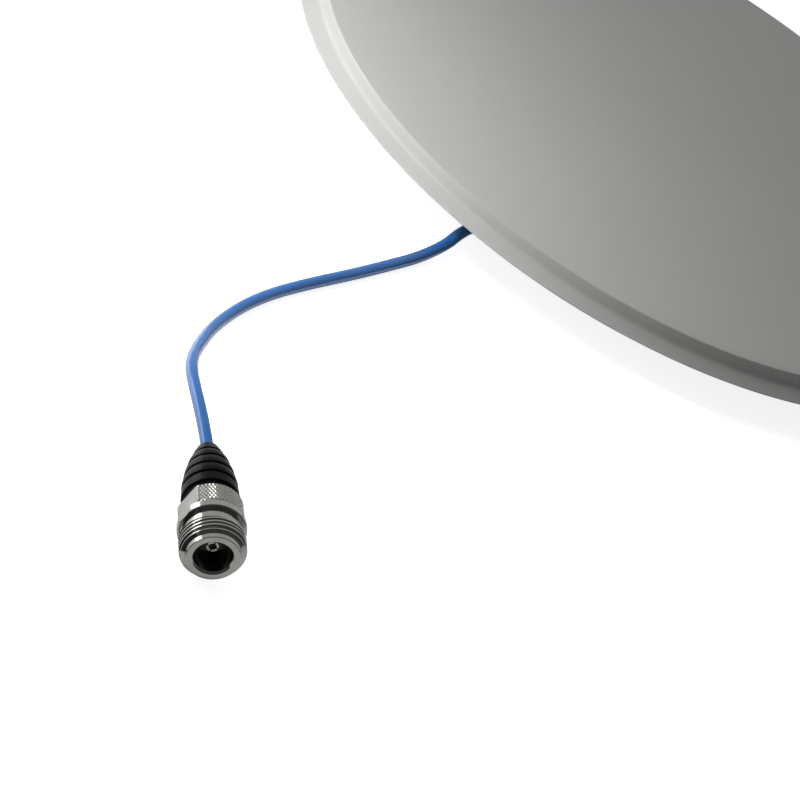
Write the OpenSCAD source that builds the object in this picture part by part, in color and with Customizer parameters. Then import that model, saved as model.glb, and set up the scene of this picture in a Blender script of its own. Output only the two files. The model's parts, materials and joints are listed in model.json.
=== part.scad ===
// Low-profile ceiling antenna: a shallow radome over a base tray, with a coaxial pigtail that ends in a
// threaded jack. Millimetres. +Z points out of the room-side face. The origin is the middle of the flat
// back face, which goes against the ceiling. The pigtail lies on the plane of that face.

/* [Radome] */
// Outer radius of the radome at its lip
radome_r = 110; // [104:1:130]
// Width of the lip that runs round the raised face
lip_w = 5; // [4:0.5:8]
// Thickness of the lip
lip_t = 2.4; // [2:0.1:3]
// Rise of the face's edge above the lip
step_h = 3.4; // [2.6:0.2:6]
// Rise of the face's middle above its edge
crown_h = 2; // [1:0.5:5]
// Wall of the radome
radome_wall = 2.2; // [1.6:0.1:2.6]
// Rounding of the lip's outer edge
lip_round = 0.9; // [0.4:0.1:1]
// Fillet between the lip and the step
step_fillet = 1.3; // [0.6:0.1:1.8]
// Rounding of the face's edge
face_round = 0.4; // [0.2:0.1:0.8]

/* [Base tray] */
// Height of the tray from its back face to the top of its flange
base_h = 10; // [9.5:0.5:14]
// How far the tray's side wall stands in from the radome's edge
base_inset = 20; // [19:0.5:24]
// How far the lip stands out past the tray's flange
lip_overhang = 5; // [4:0.5:6]
// Thickness of the tray's side wall
base_wall = 2; // [1.6:0.1:3]
// Thickness of the tray's floor
floor_t = 1.6; // [1.4:0.1:1.8]
// Thickness of the tray's flange
flange_t = 2.4; // [2:0.1:2.6]
// Chamfer round the tray's back edge
base_chamfer = 0.8; // [0.4:0.1:1.2]
// Width of the radome's seat on the flange
seat_w = 6.2; // [5.6:0.1:7]
// Width of the rim gasket
gasket_w = 2.2; // [1.6:0.1:2.6]
// Height of the rim gasket
gasket_h = 1.2; // [0.8:0.1:1.4]

/* [Fixings] */
// Screws that hold the radome
cover_screw_count = 6; // [4:1:8]
// Radius of a screw's shank
screw_r = 1.45; // [1.2:0.05:1.5]
// Radius of a screw's head
screw_head_r = 2.8; // [2.4:0.1:3]
// Height of a screw's head
screw_head_h = 1.7; // [1.4:0.1:1.8]
// Depth of a cover screw in its boss
cover_grip = 3; // [2.4:0.1:3.2]
// Radius of a cover screw's boss
cover_boss_r = 3.3; // [3:0.1:3.6]
// Radius of a pillar that stands on the tray's floor
pillar_r = 3.4; // [3:0.1:3.8]
// Pitch circle diameter of the bracket's inserts
insert_pcd = 76; // [70:1:80]
// Thread bore radius of an insert
insert_bore_r = 2.1; // [1.6:0.05:2.5]
// Outer radius of an insert
insert_r = 3.5; // [3.2:0.1:4]
// Length of an insert
insert_len = 6; // [5:0.5:6.5]
// Wall of the boss round an insert
insert_boss_wall = 2; // [1.5:0.1:2.5]

/* [Inside] */
// Gap from the ground plane's edge to the tray's wall
ground_gap = 4; // [3:0.5:6]
// Thickness of the ground plane
ground_t = 1; // [0.8:0.1:1.2]
// Height of the ground plane above the tray's floor
ground_lift = 2.4; // [2.2:0.1:2.8]
// Pitch circle radius of the ground plane's screws
ground_screw_ring = 72; // [68:1:74]
// Screws that hold the ground plane
ground_screw_count = 6; // [4:2:6]
// Width of the ground plane's slot for the coax
slot_w = 6; // [5.6:0.2:7]
// Radius of the radiator plate
radiator_r = 50; // [47:1:54]
// Thickness of the radiator's sheet
radiator_t = 0.5; // [0.4:0.1:0.8]
// Gap between ground plane and radiator plate
radiator_gap = 6; // [5:0.5:6.5]
// Width of a radiator leg
leg_w = 10; // [8:0.5:12]
// Length of a leg's foot
leg_foot = 8; // [7:0.5:9]
// Radius of a rivet's shank
rivet_r = 1.5; // [1.2:0.1:1.8]
// Pitch circle radius of the spacers
spacer_ring = 22; // [20:1:24]
// Outer radius of a spacer
spacer_r = 3.5; // [3.2:0.1:4]
// Radius of the feed post
feed_r = 3; // [2.5:0.1:3.5]
// Radius of the feed bush's foot
bush_r = 7; // [6:0.5:8]
// Thickness of the feed bush's foot
bush_t = 1; // [0.8:0.1:1.2]
// Distance of the coax's jacket from the feed's middle
jacket_start = 15; // [14:0.5:16]
// Distance of the coax's dielectric from the feed's middle
dielectric_start = 9; // [8.5:0.5:11]
// Distance of the cable clip from the feed's middle
clip_at = 60; // [58:1:62]
// Length of the cable clip along the coax
clip_len = 7; // [6:0.5:9]
// Distance of the braid strap from the feed's middle
strap_at = 20; // [19:0.5:22]
// Length of the braid strap along the coax
strap_len = 5; // [4:0.5:6]

/* [Coax] */
// Outer radius of the coax's jacket
cable_r = 1.55; // [1.4:0.05:1.8]
// Radius of the coax's dielectric
dielectric_r = 1.2; // [1:0.05:1.25]
// Radius of the coax's inner conductor
conductor_r = 0.42; // [0.36:0.01:0.46]

/* [Jack] */
// Crest radius of the coupling thread
thread_r = 7.94; // [7.6:0.01:8.2]
// Length of the coupling thread
thread_len = 4.8; // [4.5:0.1:7.5]
// Outer radius of the jack's front face
face_r = 6.4; // [6.1:0.05:6.6]
// Radius at the back of the coned collar ahead of the thread
collar_r = 7; // [6.8:0.05:7.3]
// Length of the nose ahead of the thread
nose_len = 1.9; // [1.6:0.1:2.2]
// Radius of the undercut behind the thread
relief_r = 6.9; // [6.6:0.1:7.2]
// Length of the undercut behind the thread
relief_len = 2.65; // [1.5:0.05:3.2]
// Radius of the flange
flange_ring_r = 8.2; // [8.1:0.1:9]
// Length of the flange
flange_ring_len = 2.4; // [2.2:0.1:3.5]
// Radius of the groove between flange and grip
grip_groove_r = 7.3; // [7:0.1:7.5]
// Length of the groove between flange and grip
grip_groove_len = 0.5; // [0.4:0.1:0.8]
// Radius of the knurled grip
grip_r = 7.8; // [7.6:0.1:8.2]
// Length of the knurled grip
grip_len = 5.75; // [5:0.05:6.5]
// Width across the grip's wrench flats
flats_w = 13.6; // [13.2:0.1:14.4]
// Width across the shallow flats on the flange
flange_flats_w = 15.8; // [15.4:0.1:16]
// Turn of the wrench flats about the jack's axis
flats_turn = 8; // [0:1:90]
// Bore radius of the jack's mouth
mouth_r = 4.5; // [4.2:0.05:4.7]
// Radius of the chamfer at the jack's mouth
mouth_chamfer_r = 5.2; // [4.8:0.1:5.6]
// Depth of the mouth's bore to its shoulder
mouth_depth = 9.2; // [8.8:0.1:9.6]
// Bore radius behind the mouth's shoulder
throat_r = 3.5; // [3.2:0.1:3.7]
// Length of the contact's insulator
insulator_len = 4.5; // [4:0.1:5]
// Outer radius of the socket contact
contact_r = 1.45; // [1.4:0.05:1.6]
// Bore radius of the socket contact
contact_bore_r = 0.95; // [0.8:0.01:1]
// Setback of the contact's tip from the front face
contact_setback = 4.2; // [4.1:0.1:4.6]
// Length of the crimp stem behind the grip
stem_len = 8; // [7:0.5:9]
// Outer radius of the crimp stem
stem_r = 2.6; // [2.4:0.1:2.8]
// Wall of the crimp ferrule
ferrule_wall = 0.6; // [0.4:0.1:0.8]
// Length of the boot
boot_len = 21.4; // [18:0.2:24]
// Largest radius of the boot
boot_base_r = 7; // [6.8:0.1:7.4]
// Radius of the boot's neck against the grip
boot_neck_r = 6.3; // [6:0.1:6.6]
// Radius of the boot's tip
boot_tip_r = 2.5; // [2.4:0.1:3]
// Ring grooves along the boot
boot_rings = 4; // [3:1:5]
// Depth of a ring groove
boot_ring_depth = 0.55; // [0.3:0.05:0.7]

/* [Hidden] */
$fn = 96;
// Clearances: between fitted pieces, round a screw's thread and round its shank
fit_gap = 0.05;
hole_gap = 0.2;
sheet_hole_gap = 0.5;
cut = 1;

// The coax's route from the tray's outlet to the boot's tip
route = [
    [-61.8, -69.8, 4.4], [-65.4, -73.9, 4.4], [-68.6, -78, 4], [-72, -82.6, 3], [-76.4, -87.6, 2.1],
    [-82.2, -93.8, 1.65], [-89.5, -101, 1.65], [-97, -108.2, 1.65], [-104.5, -115.2, 1.65], [-112, -122, 1.65],
    [-119, -128.5, 1.65], [-126, -135.3, 1.65], [-132.7, -142.6, 1.65], [-139, -150.5, 1.65],
    [-144.6, -159, 2], [-149.3, -167.6, 2.9], [-153.2, -176.2, 4.4], [-156.7, -184.8, 6.2],
    [-159.5, -193, 8.1], [-161.2, -201, 9.7], [-161.8, -209, 10.9], [-161.7, -217.5, 11.5],
    [-161.2, -226, 11.4], [-160.66, -234, 10.84]
];
cable_sides = 8;
// The jack lies with its nose a little down and turned
jack_tilt = 4.4;
jack_turn = 1;

cable_exit = route[0];
cable_z = cable_exit[2];
outlet_turn = atan2(cable_exit[1], cable_exit[0]);
exit_r = norm([cable_exit[0], cable_exit[1]]);

top_r = radome_r - lip_w;
lip_z = base_h + lip_t;
top_z = lip_z + step_h;
face_edge = top_r - face_round;
crown_steps = 16;
arc_steps = 6;

base_r = radome_r - base_inset;
tray_in = base_r - base_wall;
flange_r = radome_r - lip_overhang;
flange_z = base_h - flange_t;
seat_in = flange_r - seat_w;
gasket_mid = seat_in + seat_w / 2;
boss_merge = 1;
boss_relief = 0.3;
cover_ring = seat_in - cover_boss_r + boss_merge;
cover_tip_room = 0.3;
rib_t = 1.6;
rib_edge = 2;

insert_count = 4;
insert_ring = insert_pcd / 2;
insert_boss_r = insert_r + insert_boss_wall;
insert_boss_top = 1.6;
// Turn of the inner pieces from the outlet: half a pitch, so the coax runs between them
ground_screw_turn = 180 / ground_screw_count;
leg_count = 4;
leg_turn = 180 / leg_count;
spacer_count = 3;
spacer_turn = 180 / spacer_count;

ground_r = tray_in - ground_gap;
ground_z = floor_t + ground_lift;
ground_top = ground_z + ground_t;
radiator_z = ground_top + radiator_gap;
radiator_top = radiator_z + radiator_t;
cross_len = 1.1 * screw_head_r;
cross_w = 0.8;
screw_floor = 0.7;
screw_end = screw_floor + 0.3;
feed_hole_r = 8.5;
rivet_head_r = 2 * rivet_r;
rivet_head_h = 0.9;
rivet_at = radiator_r + leg_foot / 2;
radiator_slot_w = 3;
radiator_slot_at = 0.68 * radiator_r;
radiator_slot_angle = 44;
spigot_r = feed_r / 2;
peen_h = 0.6;
post_z = floor_t + bush_t;
bush_lip_h = 0.4;
bush_lip_w = 1.2;
conductor_grip = 2;
clip_t = 0.8;
strap_t = 0.5;
clip_screw_side = slot_w / 2 + pillar_r + 0.8;
clip_foot = clip_screw_side + screw_head_r + 0.4;
strap_foot = slot_w / 2 + 4;

grommet_bore_r = cable_r + fit_gap;
grommet_neck_r = grommet_bore_r + 0.65;
grommet_inner_r = grommet_neck_r + 0.25;
grommet_outer_r = grommet_neck_r + 0.6;
grommet_start = tray_in - fit_gap;
grommet_inner_len = 1.6;
grommet_rim = 1;
grommet_nose = 3.2;

collar_len = 1.1;
thread_start = nose_len;
thread_end = thread_start + thread_len;
flange_start = thread_end + relief_len;
flange_end = flange_start + flange_ring_len;
grip_start = flange_end + grip_groove_len;
jack_len = grip_start + grip_len;
connector_len = jack_len + boot_len;
edge_chamfer = 0.3;
mouth_chamfer_len = 0.6;
insulator_start = mouth_depth + 1.2;
insulator_end = insulator_start + insulator_len;
rear_bore_r = 2;
contact_depth = 5;
contact_slot_w = 0.35;
contact_slot_len = 4;
solder_r = 1.1;
solder_end = insulator_end + 2;
stem_end = jack_len + stem_len;
ferrule_in = stem_r + fit_gap;
ferrule_r = ferrule_in + ferrule_wall;
ferrule_neck_r = cable_r + fit_gap + ferrule_wall;
ferrule_end = stem_end + 1.5;
ferrule_neck_end = ferrule_end + 2;
boot_neck_len = 2.2;
boot_edge_w = 0.5;
boot_taper = 2.2;
boot_ring_w = 1;
boot_first_ring = 5.9;
boot_last_ring = boot_len - 4.1;
boot_pitch = (boot_last_ring - boot_first_ring) / (boot_rings - 1);
boot_steps = 4;

// Points of an arc about [x, y]
function arc(x, y, r, from, to) =
    [for (i = [0:arc_steps]) let (a = from + (to - from) * i / arc_steps) [x + r * cos(a), y + r * sin(a)]];
// Rise of the face at a radius: a shallow dome, flat over its first step
function crown(r) = crown_h * (1 - pow(max(r, top_r / crown_steps) / top_r, 2));
function unit(v) = v / norm(v);
// Direction of the coax at a route point: square to the outlet and to the boot at its ends
function route_dir(i) =
    i == 0 ? [cos(outlet_turn), sin(outlet_turn), 0] :
    i == len(route) - 1 ?
        -[sin(jack_turn) * cos(jack_tilt), cos(jack_turn) * cos(jack_tilt), sin(jack_tilt)] :
    unit(route[i + 1] - route[i - 1]);
function ring_at(i) =
    let (dir = route_dir(i), side = unit(cross(dir, [0, 0, 1])), up = cross(side, dir))
    [for (k = [0:cable_sides - 1])
        let (a = 360 * (k + 0.5) / cable_sides) route[i] + cable_r * (cos(a) * side + sin(a) * up)];

// Copies of a child on a circle, counted from the outlet's direction
module ring_of(count, r, turn) {
    for (i = [0:count - 1])
        rotate([0, 0, outlet_turn + turn + 360 * i / count]) translate([r, 0, 0]) children();
}

// A child's X axis turned to the outlet's direction
module toward_outlet() {
    rotate([0, 0, outlet_turn]) children();
}

// A child's Z axis laid along the coax inside the tray
module along_coax() {
    toward_outlet() translate([0, 0, cable_z]) rotate([0, 90, 0]) children();
}

// A child's Z axis laid along the jack, from its front face to the boot's tip
module along_jack() {
    translate(route[len(route) - 1]) rotate([jack_tilt - 90, 0, -jack_turn])
        translate([0, 0, -connector_len]) children();
}

// Pan head screw, head up, with the underside of the head at zero
module screw(length) {
    difference() {
        union() {
            translate([0, 0, -length]) cylinder(r = screw_r, h = length);
            rotate_extrude() polygon([
                [0, 0], [screw_head_r, 0], [screw_head_r, screw_head_h * 0.5],
                [screw_head_r * 0.86, screw_head_h * 0.85], [screw_head_r * 0.6, screw_head_h],
                [0, screw_head_h]
            ]);
        }
        for (a = [0, 90]) rotate([0, 0, a])
            translate([-cross_len / 2, -cross_w / 2, screw_head_h * 0.4])
                cube([cross_len, cross_w, screw_head_h]);
    }
}

module pillar() {
    translate([0, 0, floor_t - fit_gap]) cylinder(r = pillar_r, h = ground_lift + fit_gap);
}

module pillar_hole() {
    translate([0, 0, screw_floor]) cylinder(r = screw_r + fit_gap, h = ground_z - screw_floor + cut);
}

// Copies of a child where the cable clip's two screws stand
module clip_points() {
    toward_outlet() for (s = [-1, 1]) translate([clip_at, s * clip_screw_side, 0]) children();
}

// Every place where a pillar stands under the ground plane
module pillar_points() {
    ring_of(ground_screw_count, ground_screw_ring, ground_screw_turn) children();
    ring_of(spacer_count, spacer_ring, spacer_turn) children();
    clip_points() children();
}

// Strip that arches over the coax and lands on the ground plane at both sides
module saddle(at, length, thick, foot) {
    toward_outlet() translate([at - length / 2, 0, 0]) rotate([90, 0, 90]) linear_extrude(length)
        difference() {
            union() {
                translate([0, cable_z]) circle(r = cable_r + fit_gap + thick);
                translate([-foot, ground_top]) square([2 * foot, thick]);
            }
            translate([0, cable_z]) circle(r = cable_r + fit_gap);
            translate([-foot - cut, ground_top - foot]) square([2 * foot + 2 * cut, foot]);
        }
}

radome_section = concat(
    [for (i = [0:crown_steps])
        let (r = face_edge * i / crown_steps) [r, top_z + crown(r) - crown(face_edge)]],
    arc(face_edge, top_z - face_round, face_round, 90, 0),
    arc(top_r + step_fillet, lip_z + step_fillet, step_fillet, 180, 270),
    arc(radome_r - lip_round, lip_z - lip_round, lip_round, 90, 0),
    arc(radome_r - lip_round, base_h + lip_round, lip_round, 0, -90),
    [[seat_in, base_h], [seat_in, lip_z], [top_r - radome_wall, lip_z]],
    [for (i = [crown_steps:-1:0])
        let (r = (top_r - radome_wall) * i / crown_steps) [r, top_z - radome_wall + crown(r)]]
);

// Copies of a child where the cover screws stand
module cover_points() {
    ring_of(cover_screw_count, cover_ring, 180 / cover_screw_count) children();
}

// Copies of a child where the bracket's inserts stand
module insert_points() {
    ring_of(insert_count, insert_ring, 180 / insert_count) children();
}

module radome() {
    color([0.70, 0.71, 0.69])
    difference() {
        union() {
            rotate_extrude($fn = 180) polygon(radome_section);
            cover_points() translate([0, 0, base_h + boss_relief])
                cylinder(r = cover_boss_r, h = top_z - radome_wall / 2 - base_h - boss_relief);
        }
        cover_points() translate([0, 0, base_h - cut])
            cylinder(r = screw_r + fit_gap, h = cover_grip + cover_tip_room + cut);
    }
}

// Ribs between the tray's wall and the underside of its flange, two to each cover screw
module flange_ribs() {
    ring_of(2 * cover_screw_count, base_r - base_wall / 2, 90 / cover_screw_count)
        rotate([90, 0, 0]) linear_extrude(rib_t, center = true) polygon([
            [0, 2 * base_chamfer], [base_wall / 2, 2 * base_chamfer],
            [flange_r - rib_edge - base_r, flange_z],
            [flange_r - rib_edge - base_r, flange_z + flange_t / 2], [0, flange_z + flange_t / 2]
        ]);
}

module base_tray() {
    color([0.62, 0.63, 0.62])
    difference() {
        union() {
            rotate_extrude($fn = 180) polygon([
                [0, 0], [base_r - base_chamfer, 0], [base_r, base_chamfer], [base_r, flange_z],
                [flange_r, flange_z], [flange_r, base_h], [tray_in, base_h], [tray_in, floor_t], [0, floor_t]
            ]);
            flange_ribs();
            pillar_points() pillar();
            insert_points() cylinder(r = insert_boss_r, h = insert_len + insert_boss_top);
        }
        rotate_extrude($fn = 180) translate([gasket_mid - gasket_w / 2 - hole_gap, base_h - gasket_h])
            square([gasket_w + 2 * hole_gap, gasket_h + cut]);
        cover_points() translate([0, 0, flange_z - cut])
            cylinder(r = screw_r + hole_gap, h = flange_t + 2 * cut);
        insert_points() translate([0, 0, -cut]) cylinder(r = insert_r + fit_gap, h = insert_len + cut);
        pillar_points() pillar_hole();
        along_coax() translate([0, 0, tray_in - cut])
            cylinder(r = grommet_neck_r + fit_gap, h = base_wall + 2 * cut);
        // Room for the grommet's rim where the flange is low
        along_coax() translate([0, 0, base_r])
            cylinder(r = grommet_outer_r + fit_gap, h = flange_r - base_r + cut);
    }
}

module rim_gasket() {
    color([0.12, 0.12, 0.13])
    rotate_extrude($fn = 180) translate([gasket_mid - gasket_w / 2, base_h - gasket_h])
        square([gasket_w, gasket_h]);
}

module cover_screws() {
    color([0.60, 0.60, 0.62])
    cover_points() translate([0, 0, flange_z]) rotate([180, 0, 0]) screw(flange_t + cover_grip);
}

module mount_inserts() {
    color([0.80, 0.64, 0.30])
    insert_points() difference() {
        cylinder(r = insert_r, h = insert_len);
        translate([0, 0, -cut]) cylinder(r = insert_bore_r, h = insert_len + 2 * cut);
    }
}

module ground_plane() {
    color([0.78, 0.79, 0.80])
    difference() {
        translate([0, 0, ground_z]) cylinder(r = ground_r, h = ground_t, $fn = 180);
        translate([0, 0, ground_z - cut]) {
            cylinder(r = feed_hole_r, h = ground_t + 2 * cut);
            toward_outlet() translate([0, -slot_w / 2, 0]) cube([radome_r, slot_w, ground_t + 2 * cut]);
            insert_points() cylinder(r = insert_boss_r + sheet_hole_gap, h = ground_t + 2 * cut);
            ring_of(leg_count, rivet_at, leg_turn) cylinder(r = rivet_r + fit_gap, h = ground_t + 2 * cut);
            pillar_points() cylinder(r = screw_r + hole_gap, h = ground_t + 2 * cut);
        }
    }
}

module ground_screws() {
    color([0.60, 0.60, 0.62])
    ring_of(ground_screw_count, ground_screw_ring, ground_screw_turn)
        translate([0, 0, ground_top]) screw(ground_top - screw_end);
}

module radiator() {
    color([0.83, 0.70, 0.38])
    difference() {
        union() {
            translate([0, 0, radiator_z]) cylinder(r = radiator_r, h = radiator_t, $fn = 180);
            ring_of(leg_count, radiator_r - radiator_t, leg_turn) translate([0, -leg_w / 2, ground_top]) {
                cube([radiator_t, leg_w, radiator_gap + radiator_t]);
                cube([radiator_t + leg_foot, leg_w, radiator_t]);
            }
        }
        ring_of(leg_count, 0, 0) translate([0, 0, radiator_z - cut]) rotate([0, 0, -radiator_slot_angle / 2])
            rotate_extrude(angle = radiator_slot_angle)
                translate([radiator_slot_at, 0]) square([radiator_slot_w, radiator_t + 2 * cut]);
        ring_of(leg_count, rivet_at, leg_turn)
            translate([0, 0, ground_top - cut]) cylinder(r = rivet_r + fit_gap, h = radiator_t + 2 * cut);
        ring_of(spacer_count, spacer_ring, spacer_turn)
            translate([0, 0, radiator_z - cut]) cylinder(r = screw_r + hole_gap, h = radiator_t + 2 * cut);
        translate([0, 0, radiator_z - cut]) cylinder(r = spigot_r + fit_gap, h = radiator_t + 2 * cut);
    }
}

module leg_rivets() {
    color([0.72, 0.73, 0.74])
    ring_of(leg_count, rivet_at, leg_turn) {
        translate([0, 0, ground_z - rivet_head_h]) cylinder(r = rivet_head_r, h = rivet_head_h);
        translate([0, 0, ground_z - fit_gap]) cylinder(r = rivet_r, h = ground_t + radiator_t + 2 * fit_gap);
        translate([0, 0, ground_top + radiator_t])
            cylinder(r1 = rivet_head_r, r2 = rivet_r, h = rivet_head_h);
    }
}

module spacers() {
    color([0.90, 0.89, 0.85])
    ring_of(spacer_count, spacer_ring, spacer_turn) translate([0, 0, ground_top])
        difference() {
            cylinder(r = spacer_r, h = radiator_gap);
            translate([0, 0, -cut]) cylinder(r = screw_r + hole_gap, h = radiator_gap + 2 * cut);
        }
}

module spacer_screws() {
    color([0.60, 0.60, 0.62])
    ring_of(spacer_count, spacer_ring, spacer_turn)
        translate([0, 0, radiator_top]) screw(radiator_top - screw_end);
}

module feed_post() {
    color([0.83, 0.66, 0.30])
    difference() {
        union() {
            translate([0, 0, post_z]) cylinder(r = feed_r, h = radiator_z - post_z);
            translate([0, 0, radiator_z - fit_gap]) cylinder(r = spigot_r, h = radiator_t + peen_h + fit_gap);
        }
        along_coax() translate([0, 0, feed_r - conductor_grip - fit_gap])
            cylinder(r = conductor_r + fit_gap, h = conductor_grip + cut);
    }
}

module feed_bush() {
    color([0.92, 0.91, 0.88])
    difference() {
        translate([0, 0, floor_t]) union() {
            cylinder(r = bush_r, h = bush_t);
            cylinder(r = feed_r + fit_gap + bush_lip_w, h = bush_t + bush_lip_h);
        }
        translate([0, 0, post_z]) cylinder(r = feed_r + fit_gap, h = bush_lip_h + cut);
    }
}

module inner_cable() {
    color([0.16, 0.33, 0.62])
    along_coax() translate([0, 0, jacket_start]) cylinder(r = cable_r, h = exit_r - jacket_start);
}

module cable_dielectric() {
    color([0.93, 0.93, 0.91])
    along_coax() translate([0, 0, dielectric_start]) difference() {
        cylinder(r = dielectric_r, h = jacket_start - dielectric_start);
        translate([0, 0, -cut])
            cylinder(r = conductor_r + fit_gap, h = jacket_start - dielectric_start + 2 * cut);
    }
}

module cable_conductor() {
    color([0.78, 0.45, 0.25])
    along_coax() translate([0, 0, feed_r - conductor_grip])
        cylinder(r = conductor_r, h = jacket_start - feed_r + conductor_grip);
}

module braid_strap() {
    color([0.75, 0.75, 0.74])
    saddle(strap_at, strap_len, strap_t, strap_foot);
}

module cable_clip() {
    color([0.88, 0.87, 0.83])
    difference() {
        saddle(clip_at, clip_len, clip_t, clip_foot);
        clip_points() translate([0, 0, ground_top - cut])
            cylinder(r = screw_r + hole_gap, h = clip_t + 2 * cut);
    }
}

module clip_screws() {
    color([0.60, 0.60, 0.62])
    clip_points() translate([0, 0, ground_top + clip_t]) screw(ground_top + clip_t - screw_end);
}

module cable_grommet() {
    color([0.10, 0.10, 0.11])
    along_coax() rotate_extrude() polygon([
        [grommet_bore_r, grommet_start - grommet_inner_len],
        [grommet_inner_r, grommet_start - grommet_inner_len], [grommet_inner_r, grommet_start],
        [grommet_neck_r, grommet_start], [grommet_neck_r, base_r],
        [grommet_outer_r, base_r], [grommet_outer_r, base_r + grommet_rim],
        [grommet_neck_r, base_r + grommet_nose], [grommet_bore_r, base_r + grommet_nose]
    ]);
}

module pigtail_cable() {
    rings = len(route);
    color([0.16, 0.33, 0.62])
    polyhedron(
        points = [for (i = [0:rings - 1]) each ring_at(i)],
        faces = concat(
            [[for (k = [0:cable_sides - 1]) k]],
            [for (i = [0:rings - 2], k = [0:cable_sides - 1])
                let (a = i * cable_sides + k, b = i * cable_sides + (k + 1) % cable_sides)
                [b, a, a + cable_sides, b + cable_sides]],
            [[for (k = [cable_sides - 1:-1:0]) (rings - 1) * cable_sides + k]]
        )
    );
}

// Radius of the boot at a distance from the jack, before its rings are cut
function boot_r(s) = boot_base_r - (boot_base_r - boot_tip_r) * pow(s / boot_len, boot_taper);
// Stretch of the boot's outline from one distance to another
function boot_run(from, to) =
    [for (i = [0:boot_steps]) let (s = from + (to - from) * i / boot_steps) [boot_r(s), s]];
boot_section = concat(
    [[0, 0], [boot_neck_r, 0], [boot_neck_r, boot_neck_len]],
    boot_run(boot_neck_len + boot_edge_w, boot_first_ring - boot_ring_w),
    [for (i = [0:boot_rings - 1]) let (s = boot_first_ring + i * boot_pitch, half = boot_ring_w / 2)
        each concat(
            [[boot_r(s - half), s - half], [boot_r(s) - boot_ring_depth, s]],
            boot_run(s + half, i < boot_rings - 1 ? s + boot_pitch - 1.5 * half : boot_len)
        )],
    [[0, boot_len]]
);

module cable_boot() {
    color([0.08, 0.08, 0.09])
    along_jack() difference() {
        translate([0, 0, jack_len]) rotate_extrude() polygon(boot_section);
        translate([0, 0, jack_len - cut]) {
            cylinder(r = ferrule_r + fit_gap, h = ferrule_end - jack_len + fit_gap + cut);
            cylinder(r = ferrule_neck_r + fit_gap, h = ferrule_neck_end - jack_len + fit_gap + cut);
            cylinder(r = cable_r + fit_gap, h = boot_len + 2 * cut);
        }
    }
}

shell_section = [
    [rear_bore_r, insulator_end], [throat_r, insulator_end], [throat_r, mouth_depth], [mouth_r, mouth_depth],
    [mouth_r, mouth_chamfer_len], [mouth_chamfer_r, 0], [face_r, 0], [collar_r, collar_len],
    [thread_r, thread_start], [thread_r, thread_end],
    [relief_r, thread_end], [relief_r, flange_start],
    [flange_ring_r - edge_chamfer, flange_start], [flange_ring_r, flange_start + edge_chamfer],
    [flange_ring_r, flange_end - edge_chamfer], [flange_ring_r - edge_chamfer, flange_end],
    [grip_groove_r, flange_end], [grip_groove_r, grip_start], [grip_r - edge_chamfer, grip_start],
    [grip_r, grip_start + edge_chamfer], [grip_r, jack_len - edge_chamfer], [grip_r - edge_chamfer, jack_len],
    [stem_r, jack_len], [stem_r, stem_end], [dielectric_r + fit_gap, stem_end],
    [dielectric_r + fit_gap, jack_len], [rear_bore_r, jack_len]
];

module connector_shell() {
    color([0.72, 0.72, 0.70])
    along_jack() difference() {
        rotate_extrude() polygon(shell_section);
        for (side = [0, 180]) rotate([0, 0, flats_turn + side]) {
            translate([flats_w / 2, -flange_ring_r, flange_end - fit_gap])
                cube([flange_ring_r, 2 * flange_ring_r, jack_len - flange_end + fit_gap + cut]);
            translate([flange_flats_w / 2, -flange_ring_r, flange_start - relief_len / 2])
                cube([flange_ring_r, 2 * flange_ring_r, flange_end - flange_start + relief_len / 2 + grip_groove_len / 2]);
        }
    }
}

module contact_insulator() {
    color([0.10, 0.10, 0.10])
    along_jack() translate([0, 0, insulator_start]) difference() {
        cylinder(r = throat_r - fit_gap, h = insulator_len);
        translate([0, 0, -cut]) cylinder(r = contact_r + fit_gap, h = insulator_len + 2 * cut);
    }
}

module centre_contact() {
    color([0.80, 0.78, 0.70])
    along_jack() difference() {
        union() {
            translate([0, 0, contact_setback]) cylinder(r = contact_r, h = insulator_end - contact_setback);
            translate([0, 0, insulator_end - fit_gap])
                cylinder(r = solder_r, h = solder_end - insulator_end + fit_gap);
        }
        translate([0, 0, contact_setback - cut]) cylinder(r = contact_bore_r, h = contact_depth + cut);
        for (a = [0, 90]) rotate([0, 0, a])
            translate([-contact_r - cut, -contact_slot_w / 2, contact_setback - cut])
                cube([2 * contact_r + 2 * cut, contact_slot_w, contact_slot_len + cut]);
    }
}

module crimp_ferrule() {
    color([0.70, 0.70, 0.68])
    along_jack() rotate_extrude() polygon([
        [ferrule_in, jack_len + fit_gap], [ferrule_r, jack_len + fit_gap], [ferrule_r, ferrule_end],
        [ferrule_neck_r, ferrule_end], [ferrule_neck_r, ferrule_neck_end],
        [cable_r + fit_gap, ferrule_neck_end], [cable_r + fit_gap, stem_end + fit_gap],
        [ferrule_in, stem_end + fit_gap]
    ]);
}

module cable_tail() {
    color([0.16, 0.33, 0.62])
    along_jack() {
        translate([0, 0, solder_end]) cylinder(r = dielectric_r, h = stem_end - solder_end + 2 * fit_gap);
        translate([0, 0, stem_end + fit_gap]) cylinder(r = cable_r, h = connector_len - stem_end - fit_gap);
    }
}

radome();
base_tray();
rim_gasket();
cover_screws();
mount_inserts();
ground_plane();
ground_screws();
radiator();
leg_rivets();
spacers();
spacer_screws();
feed_post();
feed_bush();
inner_cable();
cable_dielectric();
cable_conductor();
braid_strap();
cable_clip();
clip_screws();
cable_grommet();
pigtail_cable();
cable_boot();
connector_shell();
contact_insulator();
centre_contact();
crimp_ferrule();
cable_tail();
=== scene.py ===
import json
import math

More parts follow.
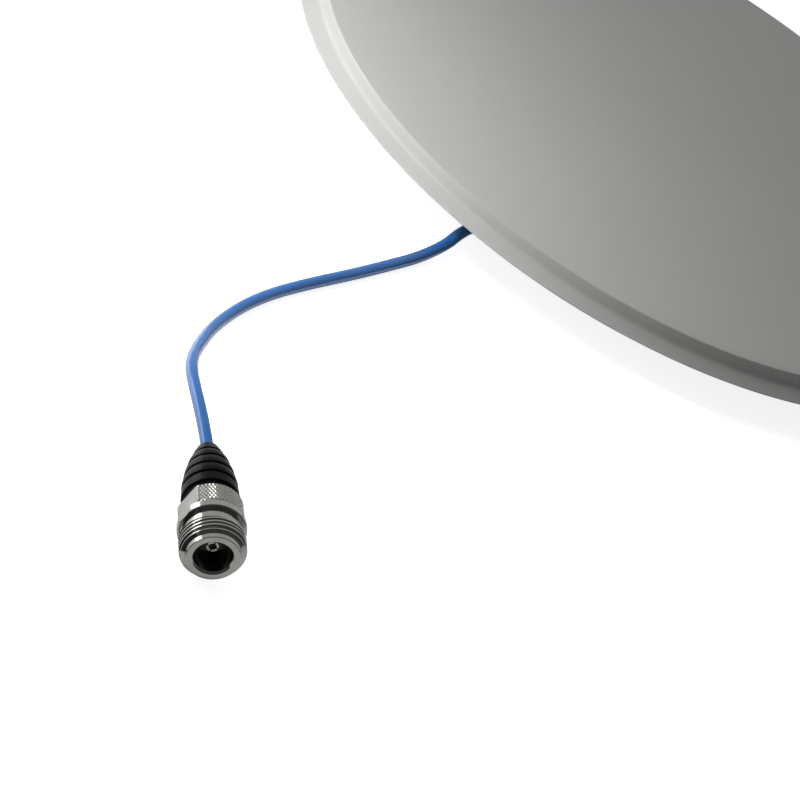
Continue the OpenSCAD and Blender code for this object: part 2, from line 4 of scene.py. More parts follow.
import bpy
from mathutils import Euler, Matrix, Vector


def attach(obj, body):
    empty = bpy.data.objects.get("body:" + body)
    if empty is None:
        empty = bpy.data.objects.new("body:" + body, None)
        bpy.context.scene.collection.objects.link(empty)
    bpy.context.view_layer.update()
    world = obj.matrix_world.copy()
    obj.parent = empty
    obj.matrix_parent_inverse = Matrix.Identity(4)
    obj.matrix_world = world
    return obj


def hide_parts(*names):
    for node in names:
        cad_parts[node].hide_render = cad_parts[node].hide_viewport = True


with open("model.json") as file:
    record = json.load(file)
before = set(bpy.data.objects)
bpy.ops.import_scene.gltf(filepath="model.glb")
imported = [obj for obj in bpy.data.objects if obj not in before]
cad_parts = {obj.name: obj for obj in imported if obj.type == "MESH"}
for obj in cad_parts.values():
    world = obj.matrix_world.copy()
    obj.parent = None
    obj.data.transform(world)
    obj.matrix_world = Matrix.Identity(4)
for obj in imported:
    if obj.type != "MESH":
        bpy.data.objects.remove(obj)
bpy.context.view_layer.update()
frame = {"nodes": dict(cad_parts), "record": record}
nodes = frame["nodes"]
mm = 0.001
weld = mm / 1000  # points nearer than this become one


# camera, set to the photo's viewing angle
view = {
    "place": (-0.669242, -1.463909, 0.756805), "turn": (57.708005, -28.532119, -7.029738),
    "lens": 292.547, "sensor": 36, "farthest": 50,
}
bpy.ops.object.select_all(action="DESELECT")
bpy.ops.object.camera_add(location=view["place"], rotation=[math.radians(a) for a in view["turn"]])
camera = bpy.context.object
camera.name = "photoCamera"
camera.data.lens = view["lens"]
camera.data.sensor_width = view["sensor"]
camera.data.clip_end = view["farthest"]
bpy.context.scene.camera = camera
print("camera set")


# pigtail: the coax's route from the tray's outlet to the boot's tip, in millimetres, and its length in metres
pigtail = {
    "route": [
        (-61.8, -69.8, 4.4), (-65.4, -73.9, 4.4), (-68.6, -78, 4), (-72, -82.6, 3), (-76.4, -87.6, 2.1),
        (-82.2, -93.8, 1.65), (-89.5, -101, 1.65), (-97, -108.2, 1.65), (-104.5, -115.2, 1.65),
        (-112, -122, 1.65), (-119, -128.5, 1.65), (-126, -135.3, 1.65), (-132.7, -142.6, 1.65),
        (-139, -150.5, 1.65), (-144.6, -159, 2), (-149.3, -167.6, 2.9), (-153.2, -176.2, 4.4),
        (-156.7, -184.8, 6.2), (-159.5, -193, 8.1), (-161.2, -201, 9.7), (-161.8, -209, 10.9),
        (-161.7, -217.5, 11.5), (-161.2, -226, 11.4), (-160.66, -234, 10.84),
    ],
    "radius": 1.55, "length": 0.2015, "stepsAlong": 10, "stepsRound": 8,
}
cordCurve = bpy.data.curves.new("pigtail", "CURVE")
cordCurve.dimensions = "3D"
cordCurve.resolution_u = pigtail["stepsAlong"]
cordCurve.bevel_depth = pigtail["radius"] * mm
cordCurve.bevel_resolution = pigtail["stepsRound"]
cordCurve.use_fill_caps = True
spline = cordCurve.splines.new("BEZIER")
spline.bezier_points.add(len(pigtail["route"]) - 1)
for knot, place in zip(spline.bezier_points, pigtail["route"]):
    knot.co = [v * mm for v in place]
    knot.handle_left_type = knot.handle_right_type = "AUTO"
cord = bpy.data.objects.new("pigtail", cordCurve)
bpy.context.collection.objects.link(cord)
print("pigtail laid")


# modelling helpers
def deselectAll():
    if bpy.context.object and bpy.context.object.mode != "OBJECT":
        bpy.ops.object.mode_set(mode="OBJECT")
    bpy.ops.object.select_all(action="DESELECT")


def pick(piece):
    deselectAll()
    piece.select_set(True)
    bpy.context.view_layer.objects.active = piece


def selectPoints(piece, wanted):
    pick(piece)
    for part in (piece.data.edges, piece.data.polygons):
        part.foreach_set("select", [False] * len(part))
    piece.data.vertices.foreach_set("select", [wanted(p.co) for p in piece.data.vertices])
    bpy.context.tool_settings.mesh_select_mode = (True, False, False)
    bpy.ops.object.mode_set(mode="EDIT")


def selectFaces(piece, wanted):
    pick(piece)
    for part in (piece.data.vertices, piece.data.edges):
        part.foreach_set("select", [False] * len(part))
    piece.data.polygons.foreach_set("select", [wanted(f.center, f.normal) for f in piece.data.polygons])
    bpy.context.tool_settings.mesh_select_mode = (False, False, True)
    bpy.ops.object.mode_set(mode="EDIT")


def arc(x, y, radius, start, end, steps):
    turns = [math.radians(start + (end - start) * i / steps) for i in range(steps + 1)]
    return [(x + radius * math.cos(a), y + radius * math.sin(a)) for a in turns]


def drawOutline(name, outline):  # one point, extruded along the outline in the XZ plane
    deselectAll()
    bpy.ops.mesh.primitive_plane_add(size=mm)
    piece = bpy.context.object
    piece.name = piece.data.name = name
    bpy.context.tool_settings.mesh_select_mode = (True, False, False)
    bpy.ops.object.mode_set(mode="EDIT")
    bpy.ops.mesh.merge(type="CENTER")
    bpy.ops.transform.translate(value=(outline[0][0] * mm, 0, outline[0][1] * mm))
    for here, there in zip(outline, outline[1:]):
        move = ((there[0] - here[0]) * mm, 0, (there[1] - here[1]) * mm)
        bpy.ops.mesh.extrude_vertices_move(TRANSFORM_OT_translate={"value": move})
    return piece


def spinOutline(name, outline, columns):
    piece = drawOutline(name, outline)
    bpy.ops.mesh.select_all(action="SELECT")
    bpy.ops.mesh.spin(steps=columns, angle=math.tau, center=(0, 0, 0), axis=(0, 0, 1))
    bpy.ops.mesh.select_all(action="SELECT")
    bpy.ops.mesh.remove_doubles(threshold=weld)
    bpy.ops.mesh.normals_make_consistent(inside=False)
    bpy.ops.object.mode_set(mode="OBJECT")
    return piece


def carve(piece, tool, how="DIFFERENCE"):
    pick(piece)
    step = piece.modifiers.new("carve", "BOOLEAN")
    step.operation = how
    step.solver = "EXACT"
    step.object = tool
    bpy.ops.object.modifier_apply(modifier=step.name)
    bpy.data.objects.remove(tool, do_unlink=True)


def smooth(piece, angle):
    pick(piece)
    bpy.ops.object.shade_smooth_by_angle(angle=math.radians(angle))


def settle(piece):  # the object's place and turn go into its mesh
    pick(piece)
    bpy.ops.object.transform_apply(location=True, rotation=True, scale=True)


# radome: crowned face, step, sloping lip and seat spun about the disc's middle, with its screw bosses; its sizes,
# and those of the jack and boot, are in millimetres and degrees
outletTurn = math.atan2(pigtail["route"][0][1], pigtail["route"][0][0])
radomeSpec = {
    "radius": 110, "lip": 5, "lipTop": 11.7, "foot": 10, "faceTop": 15.8, "crown": 2, "flatMiddle": 1 / 16,
    "wall": 2.2, "lipSlope": 18, "lipUnder": 15, "lipTip": 0.2, "stepFillet": 1.3, "faceRound": 0.4,
    "seatIn": 98.8, "seatTop": 12.4, "columns": 256, "faceSteps": 28, "edgeSteps": 6, "roundSteps": 8,
    "bosses": 6, "bossRing": 96.5, "boss": 3.3, "hole": 1.5, "bossFoot": 10.3, "bossTop": 14.7, "holeTop": 13.3,
    "bossSides": 48, "bossTurn": outletTurn + math.radians(30), "facingDown": -0.9, "smoothBelow": 28,
}


def crownRise(r, top):
    s = radomeSpec
    return s["crown"] * (1 - (max(r, top * s["flatMiddle"]) / top) ** 2)


def makeRadome():
    s = radomeSpec
    top = s["radius"] - s["lip"]
    edge = top - s["faceRound"]
    inner = top - s["wall"]
    steps = s["faceSteps"]
    outline = []
    for i in range(steps + 1):
        r = edge * i / steps
        outline.append((r, s["faceTop"] + crownRise(r, top) - crownRise(edge, top)))
    outline += arc(edge, s["faceTop"] - s["faceRound"], s["faceRound"], 90, 0, s["edgeSteps"])[1:]
    fillet, slope, tip = s["stepFillet"], math.radians(s["lipSlope"]), s["lipTip"]
    outline += arc(top + fillet, s["lipTop"] + fillet, fillet, 180, 270 - s["lipSlope"], s["roundSteps"])
    lipRun = s["radius"] - tip + tip * math.sin(slope) - outline[-1][0]
    tipZ = outline[-1][1] - lipRun * math.tan(slope) - tip * math.cos(slope)
    outline += arc(s["radius"] - tip, tipZ, tip, 90 - s["lipSlope"], s["lipUnder"] - 90, s["roundSteps"])
    underRun = (outline[-1][1] - s["foot"]) / math.tan(math.radians(s["lipUnder"]))
    outline.append((outline[-1][0] - underRun, s["foot"]))
    outline += [(s["seatIn"], s["foot"]), (s["seatIn"], s["seatTop"]), (inner, s["seatTop"])]
    for i in range(steps + 1):
        r = inner * (1 - i / steps)
        outline.append((r, s["faceTop"] - s["wall"] + crownRise(r, top)))
    piece = spinOutline("radome_shell", outline, s["columns"])

    deselectAll()  # one boss with its screw hole, then copies of it
    high = (s["bossTop"] - s["bossFoot"]) * mm
    bpy.ops.mesh.primitive_cylinder_add(
        vertices=s["bossSides"], radius=s["boss"] * mm, depth=high,
        location=(0, 0, s["bossFoot"] * mm + high / 2))
    boss = bpy.context.object
    settle(boss)
    selectFaces(boss, lambda centre, normal: normal.z < s["facingDown"])
    bpy.ops.mesh.inset(thickness=(s["boss"] - s["hole"]) * mm)
    bpy.ops.mesh.extrude_region_move(
        TRANSFORM_OT_translate={"value": (0, 0, (s["holeTop"] - s["bossFoot"]) * mm)})
    bpy.ops.object.mode_set(mode="OBJECT")
    ring = [boss]
    while len(ring) < s["bosses"]:
        copy = boss.copy()
        copy.data = boss.data.copy()
        bpy.context.collection.objects.link(copy)
        ring.append(copy)
    for i, one in enumerate(ring):
        a = s["bossTurn"] + math.tau * i / s["bosses"]
        one.location = (s["bossRing"] * mm * math.cos(a), s["bossRing"] * mm * math.sin(a), 0)
    deselectAll()
    for one in ring:
        one.select_set(True)
    bpy.context.view_layer.objects.active = boss
    bpy.ops.object.join()
    settle(boss)
    carve(piece, boss, "UNION")
    smooth(piece, s["smoothBelow"])
    return piece


radomeShell = makeRadome()
print("radome spun", len(radomeShell.data.polygons))


# jack and boot are modelled upright, front face at zero, then laid along the jack's axis
jackLie = {"tilt": 4.4, "turn": 1, "long": 39.4}
jackTurn = Euler((math.radians(jackLie["tilt"] - 90), 0, math.radians(-jackLie["turn"])))
jackAxis = Vector((0, 0, 1))
jackAxis.rotate(jackTurn)
jackFace = (Vector(pigtail["route"][-1]) - jackAxis * jackLie["long"]) * mm


def layAlongJack(piece):
    piece.location = jackFace
    piece.rotation_euler = jackTurn
    settle(piece)


# jack body: one turned piece with a coupling thread, a flange, a knurled grip and two wrench flats
jackSpec = {
    "face": 6.4, "faceBevel": (0.08, 0.14), "mouth": 4.5, "mouthChamfer": 4.95, "chamferDeep": 0.6,
    "mouthDepth": 9.2, "throat": 3.5, "throatEnd": 14.9, "collar": 6.68, "collarEnd": 1.15,
    "threadStart": 1.8, "thread": 7.94, "threadEnd": 6.2, "lead": ((-0.38, -0.03), (-0.34, 0.18), (0, 0.5)),
    "pitch": 1.19, "threadDepth": 0.42, "groove": 0.4, "grooveFloor": 0.08, "firstGroove": 1.6, "turnSteps": 96,
    "relief": 7.2, "corner": 0.1, "flangeStart": 9.35, "flange": 8.2, "flangeEnd": 11.75, "neck": 7.3,
    "gripStart": 12.25, "grip": 7.8, "gripEnd": 18, "edge": 0.3, "soft": 0.06, "ease": 0.04, "stem": 2.6,
    "stemEnd": 26, "stemBore": 1.25, "rearBore": 2, "columns": 112, "knurlRows": 7, "knurlDepth": 0.3,
    "knurlTop": 36, "knurlZone": 0.5, "gripSlack": 0.05, "rowSlack": 0.1, "plainBeside": 2, "flats": 13.4,
    "flangeFlats": 15.8, "flatsTurn": 8, "flatsLead": 0.05, "flangeFlatsPast": 0.25, "cutterThick": 4,
    "cutterWide": 20, "cutterOver": 1, "toolClear": 0.5, "smoothBelow": 30,
}


def makeJackBody():
    s = jackSpec
    edge, soft, ease, corner = s["edge"], s["soft"], s["ease"], s["corner"]
    low, high = s["gripStart"] + edge, s["gripEnd"] - edge
    rows = [low + (high - low) * i / s["knurlRows"] for i in range(s["knurlRows"] + 1)]
    outline = [
        (s["rearBore"], s["throatEnd"]), (s["throat"], s["throatEnd"]), (s["throat"], s["mouthDepth"]),
        (s["mouth"], s["mouthDepth"]), (s["mouth"], s["chamferDeep"]), (s["mouthChamfer"] - soft, soft),
        (s["mouthChamfer"] + soft, 0), (s["face"] - soft, 0),
        (s["face"] + s["faceBevel"][0], s["faceBevel"][1]), (s["collar"], s["collarEnd"]),
    ]
    outline += [(s["thread"] + out, s["threadStart"] + along) for out, along in s["lead"]]
    outline += [
        (s["thread"], s["threadEnd"]), (s["relief"] + corner, s["threadEnd"]),
        (s["relief"], s["threadEnd"] + corner), (s["relief"], s["flangeStart"] - corner),
        (s["relief"] + corner, s["flangeStart"]), (s["flange"] - edge, s["flangeStart"]),
        (s["flange"] - soft, s["flangeStart"] + edge - soft), (s["flange"], s["flangeStart"] + edge + ease),
        (s["flange"], s["flangeEnd"] - edge - ease), (s["flange"] - soft, s["flangeEnd"] - edge + soft),
        (s["flange"] - edge, s["flangeEnd"]), (s["neck"], s["flangeEnd"]), (s["neck"], s["gripStart"]),
        (s["grip"] - edge, s["gripStart"]),
    ]
    outline += [(s["grip"], z) for z in rows]
    outline += [
        (s["grip"] - edge, s["gripEnd"]), (s["stem"], s["gripEnd"]), (s["stem"], s["stemEnd"]),
        (s["stemBore"], s["stemEnd"]), (s["stemBore"], s["gripEnd"]), (s["rearBore"], s["gripEnd"]),
        (s["rearBore"], s["throatEnd"]),
    ]
    piece = spinOutline("jack_body", outline, s["columns"])

    # diamond knurl: every other point of the grip goes in, the squares split along their grooves, and the tips
    # are bevelled flat
    step = (high - low) / s["knurlRows"]
    flatReach = math.degrees(math.acos(s["flats"] / 2 / s["grip"]))

    def isKnurl(p, odd):
        row = (p.z / mm - low) / step
        inRows = -s["rowSlack"] < row < s["knurlRows"] + s["rowSlack"]
        onGrip = math.hypot(p.x, p.y) > (s["grip"] - s["gripSlack"]) * mm
        turn = math.atan2(p.y, p.x)
        fromFlat = abs((math.degrees(turn) - s["flatsTurn"] + 90) % 180 - 90) - flatReach
        column = round(turn / math.tau * s["columns"])
        return inRows and onGrip and fromFlat > s["plainBeside"] and (round(row) + column) % 2 == odd

    selectPoints(piece, lambda p: isKnurl(p, 1))
    inward = 1 - s["knurlDepth"] / s["grip"]
    bpy.ops.transform.resize(value=(inward, inward, 1), center_override=(0, 0, 0))
    selectFaces(piece, lambda centre, normal: low * mm < centre.z < high * mm
                and math.hypot(centre.x, centre.y) > (s["grip"] - s["knurlZone"]) * mm)
    bpy.ops.mesh.quads_convert_to_tris(quad_method="SHORTEST_DIAGONAL")
    selectPoints(piece, lambda p: isKnurl(p, 0) and low + step / 2 < p.z / mm < high - step / 2)
    bpy.ops.mesh.bevel(offset_type="PERCENT", offset_pct=s["knurlTop"], segments=1, affect="VERTICES")
    bpy.ops.object.mode_set(mode="OBJECT")

    # wrench flats: deep on the grip, shallow on the flange
    over, thick = s["cutterOver"], s["cutterThick"]
    cuts = ((s["flats"], s["flangeEnd"] - s["flatsLead"], s["gripEnd"] + over),
            (s["flangeFlats"], s["flangeStart"] - over, s["flangeEnd"] + s["flangeFlatsPast"]))
    for across, start, end in cuts:
        for side in (0, 180):
            deselectAll()
            a = math.radians(s["flatsTurn"] + side)
            out = across / 2 + thick / 2
            bpy.ops.mesh.primitive_cube_add(size=1, location=(
                out * math.cos(a) * mm, out * math.sin(a) * mm, (start + end) / 2 * mm))
            block = bpy.context.object
            block.scale = (thick * mm, s["cutterWide"] * mm, (end - start) * mm)
            block.rotation_euler = (0, 0, a)
            settle(block)
            carve(piece, block)

    # coupling thread: a groove outline wound up the nose by a Screw modifier, then cut out
    first, wide, floorHalf = s["firstGroove"], s["groove"], s["grooveFloor"]
    crest = s["thread"]
    bottom, clear = crest - s["threadDepth"], crest + s["toolClear"]
    groove = [
        (clear, first - wide), (crest, first - wide), (bottom, first - floorHalf), (bottom, first + floorHalf),
        (crest, first + wide), (clear, first + wide), (clear, first - wide),
    ]
    tool = drawOutline("thread_tool", groove)
    bpy.ops.mesh.select_all(action="SELECT")
    bpy.ops.mesh.remove_doubles(threshold=weld)
    bpy.ops.transform.rotate(value=math.radians(s["flatsTurn"]), orient_axis="Z", center_override=(0, 0, 0))
    bpy.ops.object.mode_set(mode="OBJECT")
    wind = tool.modifiers.new("wind", "SCREW")
    wind.axis = "Z"
    wind.screw_offset = s["pitch"] * mm
    wind.iterations = math.ceil((s["threadEnd"] - first) / s["pitch"]) + 1
    wind.steps = wind.render_steps = s["turnSteps"]
    wind.use_smooth_shade = False
    pick(tool)
    bpy.ops.object.modifier_apply(modifier=wind.name)
    bpy.ops.object.mode_set(mode="EDIT")
    bpy.ops.mesh.select_all(action="SELECT")
    bpy.ops.mesh.fill_holes(sides=len(groove) + 1)
    bpy.ops.mesh.select_all(action="SELECT")
    bpy.ops.mesh.normals_make_consistent(inside=False)
    bpy.ops.object.mode_set(mode="OBJECT")
    carve(piece, tool)
    smooth(piece, s["smoothBelow"])
    layAlongJack(piece)
    return piece


jackBody = makeJackBody()
print("jack turned", len(jackBody.data.polygons))


# boot: moulded strain relief with ring grooves between rounded ribs
bootSpec = {
    "start": 18, "long": 21.4, "base": 7, "tip": 2.5, "taper": 2.2, "neck": 6.3, "neckEnd": 2.2,
    "shoulder": 0.5, "firstRing": 5.9, "rings": 4, "ringPitch": 3.8, "ringDepth": 0.55, "ringHalf": 0.6,
    "ringPower": 0.8, "bulge": 0.1, "rim": ((0.3, 0), (0.08, 0.08), (0, 0.3)), "sideStart": 0.4,
    "sideLess": 0.7, "tipRound": ((0.12, 0.1), (0.4, 0)), "tailBore": 3.3, "tailEnd": 9.55, "braidBore": 2.25,
    "braidEnd": 11.55, "cableBore": 1.6, "steps": 170, "columns": 96, "smoothBelow": 40,
}


def bootRadius(d):
    s = bootSpec
    r = s["base"] - (s["base"] - s["tip"]) * (d / s["long"]) ** s["taper"]
    if d < s["neckEnd"] + s["shoulder"]:
        up = max(d - s["neckEnd"], 0) / s["shoulder"]
        r = s["neck"] + (r - s["neck"]) * math.sin(math.pi / 2 * up)
    for k in range(s["rings"]):
        away = abs(d - s["firstRing"] - k * s["ringPitch"]) / s["ringHalf"]
        if away < 1:
            r -= s["ringDepth"] * (0.5 + 0.5 * math.cos(math.pi * away)) ** s["ringPower"]
    if s["firstRing"] < d < s["firstRing"] + (s["rings"] - 1) * s["ringPitch"]:
        r += s["bulge"] * math.sin(math.pi * ((d - s["firstRing"]) / s["ringPitch"] % 1)) ** 2
    return r


def makeBoot():
    s = bootSpec
    z = s["start"]
    end = z + s["long"]
    outline = [(s["tailBore"], z)] + [(s["neck"] - inward, z + up) for inward, up in s["rim"]]
    for i in range(s["steps"] + 1):
        d = s["sideStart"] + (s["long"] - s["sideLess"]) * i / s["steps"]
        outline.append((bootRadius(d), z + d))
    outline += [(s["tip"] - inward, end - back) for inward, back in s["tipRound"]]
    outline += [(s["cableBore"], end), (s["cableBore"], z + s["braidEnd"]),
                (s["braidBore"], z + s["braidEnd"]), (s["braidBore"], z + s["tailEnd"]),
                (s["tailBore"], z + s["tailEnd"]), (s["tailBore"], z)]
    piece = spinOutline("boot", outline, s["columns"])
    smooth(piece, s["smoothBelow"])
    layAlongJack(piece)
    return piece


boot = makeBoot()
print("boot moulded", len(boot.data.polygons))


# finishes
def newFinish(name, **sockets):
    finish = bpy.data.materials.new(name)
    finish.use_nodes = True
    tree = finish.node_tree
    shader = tree.nodes["Principled BSDF"]
    for socket, value in sockets.items():
        shader.inputs[socket.replace("_", " ")].default_value = value
    return finish, tree, shader


def addNode(tree, kind, at, **settings):
    node = tree.nodes.new(kind)
    node.location = at
    for name, value in settings.items():
        setattr(node, name, value)
    return node


def addGroup(tree, group, at, **values):
    node = addNode(tree, "ShaderNodeGroup", at, node_tree=group)
    for name, value in values.items():
        node.inputs[name].default_value = value
    return node


def newGroup(name, inputs, outputs):
    group = bpy.data.node_groups.new(name, "ShaderNodeTree")
    for side, sockets in (("INPUT", inputs), ("OUTPUT", outputs)):
        for label, kind in sockets:
            group.interface.new_socket(label, in_out=side, socket_type=kind)
    return group, addNode(group, "NodeGroupInput", (-900, 0)), addNode(group, "NodeGroupOutput", (600, 0))


def makeMouldGrain():  # fine spark-eroded grain and slow clouding of a moulded surface
    group, given, result = newGroup(
        "mouldGrain",
        [("Vector", "NodeSocketVector"), ("Fineness", "NodeSocketFloat"), ("Clouding", "NodeSocketFloat")],
        [("Height", "NodeSocketFloat"), ("Tone", "NodeSocketFloat")])
    fine = addNode(group, "ShaderNodeTexNoise", (-500, 150))
    fine.inputs["Detail"].default_value = 3
    fine.inputs["Roughness"].default_value = 0.6
    slow = addNode(group, "ShaderNodeTexNoise", (-500, -150))
    slow.inputs["Detail"].default_value = 4
    slow.inputs["Roughness"].default_value = 0.55
    link = group.links.new
    link(given.outputs["Vector"], fine.inputs["Vector"])
    link(given.outputs["Vector"], slow.inputs["Vector"])
    link(given.outputs["Fineness"], fine.inputs["Scale"])
    link(given.outputs["Clouding"], slow.inputs["Scale"])
    link(fine.outputs["Fac"], result.inputs["Height"])
    link(slow.outputs["Fac"], result.inputs["Tone"])
    return group


def makeTurnedMarks():  # rings that a lathe tool leaves round the Z axis, on faces and on barrels
    group, given, result = newGroup(
        "turnedMarks",
        [("Vector", "NodeSocketVector"), ("Fineness", "NodeSocketFloat")],
        [("Height", "NodeSocketFloat"), ("Tone", "NodeSocketFloat")])
    split = addNode(group, "ShaderNodeSeparateXYZ", (-700, 0))
    flat = addNode(group, "ShaderNodeCombineXYZ", (-520, 160))
    reach = addNode(group, "ShaderNodeVectorMath", (-340, 160), operation="LENGTH")
    ringPlace = addNode(group, "ShaderNodeCombineXYZ", (-160, 0))
    rings = addNode(group, "ShaderNodeTexNoise", (20, 120), noise_dimensions="2D")
    rings.inputs["Detail"].default_value = 2
    haze = addNode(group, "ShaderNodeTexNoise", (20, -160))
    haze.inputs["Scale"].default_value = 350
    haze.inputs["Detail"].default_value = 3
    link = group.links.new
    link(given.outputs["Vector"], split.inputs["Vector"])
    link(split.outputs["X"], flat.inputs["X"])
    link(split.outputs["Y"], flat.inputs["Y"])
    link(flat.outputs["Vector"], reach.inputs[0])
    link(reach.outputs["Value"], ringPlace.inputs["X"])
    link(split.outputs["Z"], ringPlace.inputs["Y"])
    link(ringPlace.outputs["Vector"], rings.inputs["Vector"])
    link(given.outputs["Fineness"], rings.inputs["Scale"])
    link(given.outputs["Vector"], haze.inputs["Vector"])
    link(rings.outputs["Fac"], result.inputs["Height"])
    link(haze.outputs["Fac"], result.inputs["Tone"])
    return group


mouldGrain = makeMouldGrain()
turnedMarks = makeTurnedMarks()
maskLook = {"spread": (0.25, 0.75), "tint": (0.3, 0.7), "mouldDeep": 0.0002, "turnedDeep": 0.00005}


def overRange(tree, source, span, at):  # a 0 to 1 mask spread over a range
    node = addNode(tree, "ShaderNodeMapRange", at)
    node.inputs["From Min"].default_value, node.inputs["From Max"].default_value = maskLook["spread"]
    node.inputs["To Min"].default_value, node.inputs["To Max"].default_value = span
    tree.links.new(source, node.inputs["Value"])
    return node.outputs["Result"]


def tint(tree, source, dark, light, at):  # a 0 to 1 mask between two colours
    node = addNode(tree, "ShaderNodeValToRGB", at)
    for stop, place, colour in zip(node.color_ramp.elements, maskLook["tint"], (dark, light)):
        stop.position = place
        stop.color = (*colour, 1)
    tree.links.new(source, node.inputs["Fac"])
    return node.outputs["Color"]


def addBump(tree, shader, source, strength, distance, at):
    bump = addNode(tree, "ShaderNodeBump", at)
    bump.inputs["Strength"].default_value = strength
    bump.inputs["Distance"].default_value = distance
    tree.links.new(source, bump.inputs["Height"])
    tree.links.new(bump.outputs["Normal"], shader.inputs["Normal"])


def wireMarks(tree, shader, marks, dark, light, rough, strength, deep):
    tone = marks.outputs["Tone"]
    tree.links.new(tint(tree, tone, dark, light, (-450, 200)), shader.inputs["Base Color"])
    tree.links.new(overRange(tree, tone, rough, (-450, -50)), shader.inputs["Roughness"])
    addBump(tree, shader, marks.outputs["Height"], strength, deep, (-450, -300))


def mouldedFinish(name, dark, light, rough, fineness, clouding, strength, **sockets):
    finish, tree, shader = newFinish(name, **sockets)
    place = addNode(tree, "ShaderNodeTexCoord", (-900, 0))
    grain = addGroup(tree, mouldGrain, (-700, 0), Fineness=fineness, Clouding=clouding)
    tree.links.new(place.outputs["Object"], grain.inputs["Vector"])
    wireMarks(tree, shader, grain, dark, light, rough, strength, maskLook["mouldDeep"])
    return finish


def turnedFinish(name, dark, light, rough, fineness, strength):
    finish, tree, shader = newFinish(name, Metallic=1.0)
    place = addNode(tree, "ShaderNodeTexCoord", (-1100, 0))
    lie = addNode(tree, "ShaderNodeMapping", (-900, 0), vector_type="TEXTURE")
    lie.inputs["Location"].default_value = jackFace
    lie.inputs["Rotation"].default_value = jackTurn
    marks = addGroup(tree, turnedMarks, (-700, 0), Fineness=fineness)
    tree.links.new(place.outputs["Object"], lie.inputs["Vector"])
    tree.links.new(lie.outputs["Vector"], marks.inputs["Vector"])
    wireMarks(tree, shader, marks, dark, light, rough, strength, maskLook["turnedDeep"])
    return finish


finishes = {
    "radome_plastic": mouldedFinish(
        "radomePlastic", (0.545, 0.55, 0.53), (0.57, 0.575, 0.555), (0.42, 0.5),
        fineness=2600, clouding=30, strength=0.05),
    "tray_plastic": mouldedFinish(
        "trayPlastic", (0.47, 0.475, 0.465), (0.5, 0.505, 0.495), (0.5, 0.6),
        fineness=2200, clouding=30, strength=0.12),
    "black_rubber": mouldedFinish(
        "blackRubber", (0.002, 0.0025, 0.0025), (0.004, 0.0045, 0.0045), (0.28, 0.36),
        fineness=3500, clouding=200, strength=0.2, Specular_IOR_Level=0.08),
    "black_plastic": mouldedFinish(
        "blackPlastic", (0.012, 0.012, 0.012), (0.02, 0.02, 0.02), (0.4, 0.5),
        fineness=3000, clouding=120, strength=0.08),
    "white_plastic": mouldedFinish(
        "whitePlastic", (0.78, 0.77, 0.72), (0.84, 0.83, 0.79), (0.4, 0.5),
        fineness=3000, clouding=120, strength=0.08),
    "blue_jacket": mouldedFinish(
        "blueJacket", (0.01, 0.115, 0.38), (0.014, 0.135, 0.43), (0.16, 0.22),
        fineness=1800, clouding=60, strength=0.04, Specular_IOR_Level=0.7),
    "nickel": turnedFinish(
        "nickelPlate", (0.46, 0.455, 0.43), (0.53, 0.525, 0.5), (0.1, 0.17), fineness=9000, strength=0.08),
    "brass": turnedFinish(
        "brass", (0.62, 0.42, 0.16), (0.7, 0.5, 0.22), (0.25, 0.36), fineness=7000, strength=0.1),
    "screw_steel": turnedFinish(
        "zincSteel", (0.5, 0.5, 0.5), (0.6, 0.6, 0.6), (0.3, 0.42), fineness=7000, strength=0.08),
    "sheet_aluminium": turnedFinish(
        "sheetAluminium", (0.72, 0.73, 0.74), (0.8, 0.81, 0.82), (0.3, 0.42), fineness=5000, strength=0.06),
}

for part in frame["record"]["subparts"]:
    mesh = nodes[part["node"]].data
    mesh.materials.clear()
    mesh.materials.append(finishes[part["material_slot"]])
print("finishes set", len(finishes))


# the scene's own pieces: the node that each stands for, its slot, and what it rides on
ownPieces = (
    (radomeShell, "radome", "radome_plastic"), (jackBody, "connector_shell", "nickel"),
    (boot, "cable_boot", "black_rubber"), (cord, "pigtail_cable", "blue_jacket"),
)
for piece, node, slot in ownPieces:
    piece.data.materials.clear()
    piece.data.materials.append(finishes[slot])
    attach(piece, "root")
    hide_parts(node)
onCord = [boot, jackBody]
onCord += [nodes[n] for n in ("centre_contact", "contact_insulator", "crimp_ferrule", "cable_tail")]
print("pieces placed", len(ownPieces))


# floor, light and background
# the card's tone is painted shade, seen only in the jack's reflections
studio = {
    "floor": 12, "floorDrop": 0.00008, "floorLift": 0.85, "mirrorLift": 0.16, "paper": (0.8, 0.8, 0.8, 1),
    "card": 0.3, "cardPlace": (-0.321, -0.415, -0.00004), "reflectedShadeTone": (0.03, 0.03, 0.03, 1), "matt": 0.9,
    "front": 0.06, "back": 0.5, "fadeFrom": -0.5, "fadeTo": 0.6, "white": (1, 1, 1, 1),
}
deselectAll()
bpy.ops.mesh.primitive_plane_add(size=studio["floor"], location=(0, 0, -studio["floorDrop"]))
floor = bpy.context.object
floor.name = "studioFloor"
floorFinish, tree, shader = newFinish(
    "palePaper", Base_Color=studio["paper"], Roughness=studio["matt"], Specular_IOR_Level=0,
    Emission_Color=studio["white"])
path = addNode(tree, "ShaderNodeLightPath", (-600, 300))
mirrored = addNode(tree, "ShaderNodeMath", (-400, 200), operation="MAXIMUM")
mirrorLift = addNode(tree, "ShaderNodeMath", (-220, 200), operation="MULTIPLY")
mirrorLift.inputs[1].default_value = studio["mirrorLift"]
lift = addNode(tree, "ShaderNodeMath", (-40, 300), operation="MULTIPLY_ADD")
lift.inputs[1].default_value = studio["floorLift"]
tree.links.new(path.outputs["Is Glossy Ray"], mirrored.inputs[0])
tree.links.new(path.outputs["Is Transmission Ray"], mirrored.inputs[1])
tree.links.new(mirrored.outputs["Value"], mirrorLift.inputs[0])
tree.links.new(path.outputs["Is Camera Ray"], lift.inputs[0])
tree.links.new(mirrorLift.outputs["Value"], lift.inputs[2])
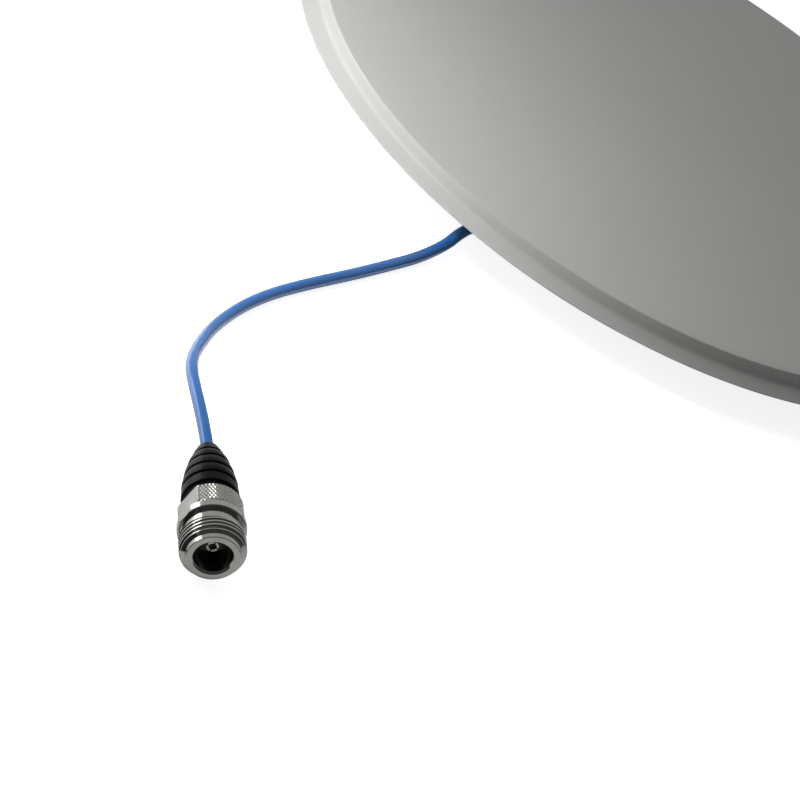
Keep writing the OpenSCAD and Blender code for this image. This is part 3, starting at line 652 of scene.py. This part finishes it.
tree.links.new(lift.outputs["Value"], shader.inputs["Emission Strength"])
floor.data.materials.append(floorFinish)

# painted shade in the metal's reflections: a dark card beside the jack's nose, seen only by glossy rays and
# casting no shadow, keeps the thread's grooves dark
deselectAll()
bpy.ops.mesh.primitive_plane_add(size=studio["card"], location=studio["cardPlace"])
card = bpy.context.object
card.name = "reflectedShadeCard"
card.data.materials.append(newFinish("reflectedShadeCard", Base_Color=studio["reflectedShadeTone"], Roughness=studio["matt"])[0])
card.visible_camera = card.visible_diffuse = card.visible_shadow = False

world = bpy.data.worlds.new("studioWorld")  # a pale wall behind the object and a darker room in front
world.use_nodes = True
tree = world.node_tree
heading = addNode(tree, "ShaderNodeTexCoord", (-700, 0))
split = addNode(tree, "ShaderNodeSeparateXYZ", (-500, 0))
fade = addNode(tree, "ShaderNodeMapRange", (-300, 0), interpolation_type="SMOOTHSTEP")
fade.inputs["From Min"].default_value = studio["fadeFrom"]
fade.inputs["From Max"].default_value = studio["fadeTo"]
fade.inputs["To Min"].default_value = studio["front"]
fade.inputs["To Max"].default_value = studio["back"]
tree.links.new(heading.outputs["Generated"], split.inputs["Vector"])
tree.links.new(split.outputs["Y"], fade.inputs["Value"])
tree.links.new(fade.outputs["Result"], tree.nodes["Background"].inputs["Strength"])
tree.nodes["Background"].inputs["Color"].default_value = studio["white"]
bpy.context.scene.world = world


# a narrow key lamp over the disc's left side, kept out of reflections, and a long low panel at the left
panels = {
    "keyPanel": {
        "place": (-0.4, -0.1, 0.34), "aim": (-0.25, -0.08, 0), "wide": 0.22, "high": 0.22, "power": 0.45,
        "spread": 52, "mirrored": False,
    },
    "lowPanel": {
        "place": (-0.66, 0.16, 0.13), "aim": (-0.1, -0.1, 0), "wide": 0.9, "high": 0.24, "power": 1.8,
        "spread": 180, "mirrored": True,
    },
}
for name, p in panels.items():
    deselectAll()
    bpy.ops.object.light_add(type="AREA", location=p["place"])
    lamp = bpy.context.object
    lamp.name = name
    lamp.data.shape = "RECTANGLE"
    lamp.data.size = p["wide"]
    lamp.data.size_y = p["high"]
    lamp.data.energy = p["power"]
    lamp.data.spread = math.radians(p["spread"])
    lamp.rotation_euler = (Vector(p["aim"]) - Vector(p["place"])).to_track_quat("-Z", "Y").to_euler()
    lamp.visible_glossy = p["mirrored"]
bpy.context.scene.view_settings.view_transform = "Standard"
print("studio lit")
